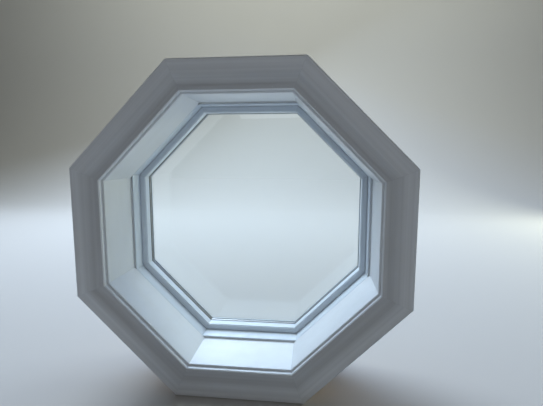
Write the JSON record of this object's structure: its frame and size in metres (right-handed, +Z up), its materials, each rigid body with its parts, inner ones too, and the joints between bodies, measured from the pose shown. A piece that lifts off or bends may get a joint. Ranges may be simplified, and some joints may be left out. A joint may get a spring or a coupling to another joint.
{
  "type": "octagonal window",
  "caption": "Fixed octagonal window: mitred painted casing and deep jamb, hollow vinyl frame with nailing fin, snap-in beads and sealed double glazing.",
  "frame": {"origin": "centre of the nailing fin's ring of holes, in the fin's bearing face", "axes": "+Y points outdoors along the window's axis, +Z up, +X to the right for someone in the room"},
  "size_m": [0.682, 0.2173, 0.682],
  "materials": {
    "casing_paint": "white satin paint on moulded wood",
    "jamb_paint": "white satin paint on flat boards, brushed",
    "frame_vinyl": "white extruded vinyl, satin",
    "bead_vinyl": "white extruded vinyl, satin",
    "cover_vinyl": "white moulded vinyl",
    "gasket_black": "black flexible seal",
    "pane": "clear float glass",
    "spacer_metal": "mill finish, roll formed",
    "desiccant_beads": "packed desiccant",
    "sealant_black": "cured edge sealant",
    "tape_foam": "closed-cell glazing tape",
    "block_rubber": "dense rubber",
    "joint_paint": "painted filler",
    "key_wood": "bare plywood",
    "fixing_steel": "zinc plated"
  },
  "bodies": {
    "root": {"casing_right": "casing_paint", "casing_upper_right": "casing_paint", "casing_top": "casing_paint", "casing_upper_left": "casing_paint", "casing_left": "casing_paint", "casing_lower_left": "casing_paint", "casing_bottom": "casing_paint", "casing_lower_right": "casing_paint", "jamb_right": "jamb_paint", "jamb_upper_right": "jamb_paint", "jamb_top": "jamb_paint", "jamb_upper_left": "jamb_paint", "jamb_left": "jamb_paint", "jamb_lower_left": "jamb_paint", "jamb_bottom": "jamb_paint", "jamb_lower_right": "jamb_paint", "vinyl_frame": "frame_vinyl", "bead_right": "bead_vinyl", "bead_upper_right": "bead_vinyl", "bead_top": "bead_vinyl", "bead_upper_left": "bead_vinyl", "bead_left": "bead_vinyl", "bead_lower_left": "bead_vinyl", "bead_bottom": "bead_vinyl", "bead_lower_right": "bead_vinyl", "bead_gasket": "gasket_black", "glass_inner": "pane", "glass_outer": "pane", "spacer_bar": "spacer_metal", "desiccant": "desiccant_beads", "edge_sealant": "sealant_black", "glazing_tape": "tape_foam", "setting_blocks": "block_rubber", "side_blocks": "block_rubber", "joint_filler": "joint_paint", "gap_sealant": "joint_paint", "mitre_keys": "key_wood", "casing_brads": "fixing_steel", "brad_filler": "joint_paint", "jamb_clips": "fixing_steel", "clip_screws": "fixing_steel", "weep_covers": "cover_vinyl"}
  },
  "joints": []
}
